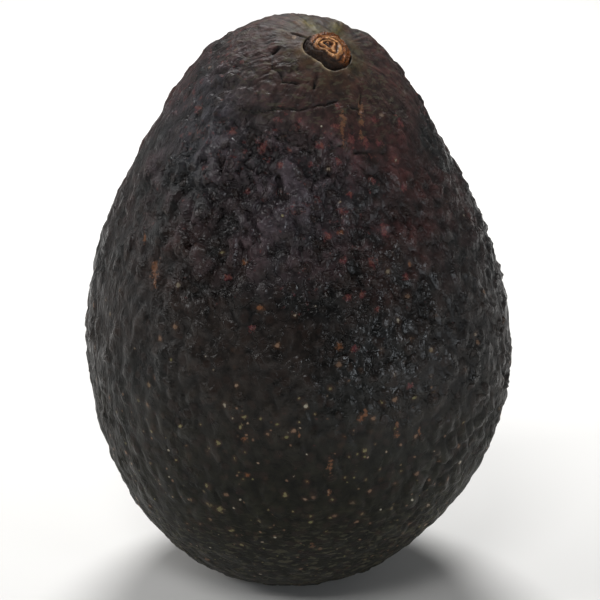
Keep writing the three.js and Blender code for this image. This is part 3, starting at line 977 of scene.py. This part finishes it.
def makeSkin():
    look = skinLook
    rows, values = skinRows()
    skin = closedGrid("rind", rows, skinMaterial())
    spots, polar = values["spot"], np.degrees(values["polar"])
    outside = 1 - values["pit"]
    addValues(skin, "skinTint", tintSkin(values), "FLOAT_COLOR")
    band = smoothStep(*look["redStart"], polar) * (1 - smoothStep(*look["redEnd"], polar))
    redder = band * lerp(*look["redShares"], 1 - smoothStep(*look["redStrongEnd"], polar))
    clumps = layeredNoise(spots, look["clumpSize"], 141, 2)
    redder = redder + placeShare(spots, look["redPlaces"]) + 0.25 * band * clumps
    addValues(skin, "redShare", redder * outside)
    low, crown = look["dashShares"]
    dashes = smoothStep(*look["dashStart"], polar) * low + (1 - smoothStep(*look["dashEnd"], polar)) * crown
    addValues(skin, "dashShare", dashes * outside)
    for name, marks in skinMarks.items():
        stretch = look["scuffLength"] if name == "scuff" else 1
        offsets = markOffsets(spots, values["normal"], marks, stretch)
        addValues(skin, name + "Offset", offsets, "FLOAT_VECTOR")
    addValues(skin, "crackAway", values["crackAway"])
    aside = 0.5 - 0.5 * np.cos(values["turn"] - skinGrid["front"])
    strokes = smoothStep(0.1, 0.4, aside) * smoothStep(*look["strokeStart"], polar)
    addValues(skin, "strokeShare", strokes * outside)
    addValues(skin, "roughShare", values["rough"] * outside)
    addValues(skin, "ridgeShare", values["ridges"] * outside)
    dull = 0.4 + 0.6 * (1 - smoothStep(*look["dullCrownEnd"], polar))
    dull = dull + 0.5 * smoothStep(*look["dullLowStart"], polar)
    dull = dull - 0.6 * np.clip(values["height"] * 2, -0.4, 0.6)     # tops shine more
    addValues(skin, "dullShare", np.clip(dull - placeShare(spots, look["glossPlaces"]), 0, 1))
    clumps = layeredNoise(spots, look["clumpSize"], 131, 2)
    dots = lerp(0.06, 0.32, smoothStep(60, 100, polar)) + 0.22 * clumps
    fineDots = lerp(0, 0.38, smoothStep(70, 125, polar)) + 0.28 * clumps
    addValues(skin, "dotShare", dots * outside)
    addValues(skin, "fineShare", fineDots * outside)
    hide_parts("fruit")
    print("skin ready,", len(skin.data.polygons), "faces")


makeSkin()


# Stem stub: a dome of dry ringed cork, glossy where sap dried on it

stemStub = {
    "footShare": 0.84,
    "rise": 1.3,
    "peakBack": 1.6,
    "peakSide": 0.4,
    "frontDrop": 2.4,
    "backDrop": 0.35,
    "dropPower": 3.2,
    "dropHeading": math.radians(330),
    "ringDepth": 0.16,
    "rings": 4,
    "sideGap": (0.06, 0.4),    # at the back and at the front left
    "openHeading": math.radians(302),
    "floorGap": 0.35,
    "around": 132,
    "topRows": 46,
    "wallRows": 10,
    "floorRows": 4,
    "fineRings": 9,
    "fineDepth": 0.05,
    "knotHeight": 0.32,
}

stubLook = {
    "pale": "#d69c62",
    "orange": "#7c471f",
    "brown": "#2c1507",
    # painted shade for the stub's flank and foot
    "dark": "#0e0804",
    "roughness": (0.2, 0.75),
    "ior": 1.42,
    "grainSize": 0.4,          # in mm
    "grainHeight": 0.35,
}


def stubRows():
    # Rows from the highest point outwards over the rings to the edge, down the side and in under the foot
    s = stemStub
    turn = np.arange(s["around"]) / s["around"] * 2 * np.pi
    way = np.linspace(0, 1, s["topRows"])[:, None] ** 0.9
    reach = pitOutline(turn) - lerp(*s["sideGap"], (0.5 + 0.5 * np.cos(turn - s["openHeading"])) ** 2)
    drop = lerp(s["backDrop"], s["frontDrop"], 0.5 + 0.5 * np.cos(turn - s["dropHeading"]))
    x = reach * np.cos(turn) * way - s["peakBack"] * (1 - way)
    y = reach * np.sin(turn) * way + s["peakSide"] * (1 - way)
    bend = layeredNoise(np.stack([x, y, 0 * x], axis=-1), 1.9, 171, 2)
    wobble = way + 0.07 * np.sin(2 * turn + 5 * way) * way + 0.16 * bend * smoothStep(0, 0.25, way)
    ring = s["ringDepth"] * (1 - 0.4 * way) * (np.cos(2 * np.pi * s["rings"] * wobble) - 1)
    fine = s["fineDepth"] * np.cos(2 * np.pi * s["fineRings"] * wobble) * smoothStep(0.1, 0.3, way)
    wave = 0.1 * way * np.sin(5 * turn + way * 14)
    height = s["rise"] - drop * way ** s["dropPower"] + ring + fine + wave
    flat = np.stack([x, y, height], axis=-1)
    height = height + s["knotHeight"] * way * layeredNoise(flat, 0.9, 141, 3)
    top = np.stack([x, y, height], axis=-1)
    down = np.linspace(0, 1, s["wallRows"] + 1)[1:, None]
    floor = -stemPit["depth"] + s["floorGap"]
    narrow = 1 - (1 - s["footShare"]) * down
    gone = lerp(top[-1, :, 2], floor, down)
    wall = np.stack([top[-1, :, 0] * narrow, top[-1, :, 1] * narrow, gone], axis=-1)
    crumble = layeredNoise(wall, 0.8, 151, 2)[..., None] * 0.12 * (down * (1 - down) * 4)[..., None]
    wall[..., :2] *= 1 - np.abs(crumble)
    inner = np.linspace(0, 1, s["floorRows"] + 1)[1:, None, None]
    foot = lerp(wall[-1], wall[-1].mean(axis=0), inner)
    local = np.concatenate([top, wall, foot])
    rows = stemPoint + local[..., :1] * stemAcross + local[..., 1:2] * sideways + local[..., 2:] * stemRun
    under = np.concatenate([np.zeros(top.shape[:2]), np.clip(down * 3, 0, 1) + 0 * turn,
                            np.ones(foot.shape[:2])])
    across = np.concatenate([way + 0 * turn, np.ones(wall.shape[:2]), np.ones(foot.shape[:2])])
    level = np.concatenate([ring / s["ringDepth"] / 2 + 1 + fine * 4, np.zeros(wall.shape[:2]),
                            np.zeros(foot.shape[:2])])
    return rows, across, level, under


def tintStub(rows, across, level, under):
    # facing is 1 on the side where the stub falls away to the open part of the pit
    turn = np.arange(rows.shape[1]) / rows.shape[1] * 2 * np.pi
    facing = 0.6 + 0.4 * np.cos(turn - stemStub["openHeading"])
    spotty = layeredNoise(rows, 1.1, 161, 3)
    tint = np.broadcast_to(linearColour(stubLook["brown"])[:3], rows.shape)
    # The rings' own orange-brown colour, partly painted light: browner in the ring grooves as painted
    # shade, and pale on the ridges near the dome's top as painted highlight
    tint = lay(tint, stubLook["orange"], smoothStep(0, 0.6, level + 0.5 * spotty))
    inner = 1 - smoothStep(0.3, 0.85, across)
    tint = lay(tint, stubLook["pale"], smoothStep(0.5, 1.0, level + 0.6 * spotty) * inner)
    # Painted shade: near black on the flank that falls away to the open side of the pit, and on the side
    # and foot down in the pit
    darkShare = smoothStep(0.4, 0.56, across * facing + 0.12 * spotty) * 0.92
    darkShare = np.clip(darkShare + under, 0, 1)
    return lay(tint, stubLook["dark"], darkShare), darkShare


def corkMaterial():
    # Dry stem cork, dark orange-brown, glossy where sap dried on it
    material, tree, shader, add = newMaterial("dry_stem_cork")
    place = add("TexCoord", {}, {}, "Object")
    tint = add("Attribute", {"attribute_name": "corkTint"}, {}, "Color")
    grain = add("TexNoise", {}, {"Vector": place, "Scale": 1000 / stubLook["grainSize"],
                                 "Detail": 4, "Roughness": 0.7})
    strength = add("MapRange", {},
                   {"Value": grain, "From Min": 0.35, "From Max": 0.65, "To Min": 0.35, "To Max": 1.8})
    speckled = add("HueSaturation", {}, {"Color": tint, "Value": strength})
    tree.links.new(speckled, shader.inputs["Base Color"])
    reach = stubLook["grainHeight"] * millimetre
    bump = add("Bump", {}, {"Strength": 1, "Distance": reach, "Height": grain})
    tree.links.new(bump, shader.inputs["Normal"])
    low, high = stubLook["roughness"]
    # rougher where the shade is painted
    dull = add("Attribute", {"attribute_name": "darkShare"}, {}, "Fac")
    dull = add("MapRange", {}, {"Value": dull, "To Min": low, "To Max": high})
    tree.links.new(dull, shader.inputs["Roughness"])
    shader.inputs["IOR"].default_value = stubLook["ior"]
    return material


def makeStub():
    rows, across, level, under = stubRows()
    stub = closedGrid("stub_cork", rows, corkMaterial())
    tint, darkShare = tintStub(rows, across, level, under)
    addValues(stub, "corkTint", tint, "FLOAT_COLOR")
    addValues(stub, "darkShare", darkShare)
    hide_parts("stem_stub")
    print("stub ready,", len(stub.data.polygons), "faces")


makeStub()
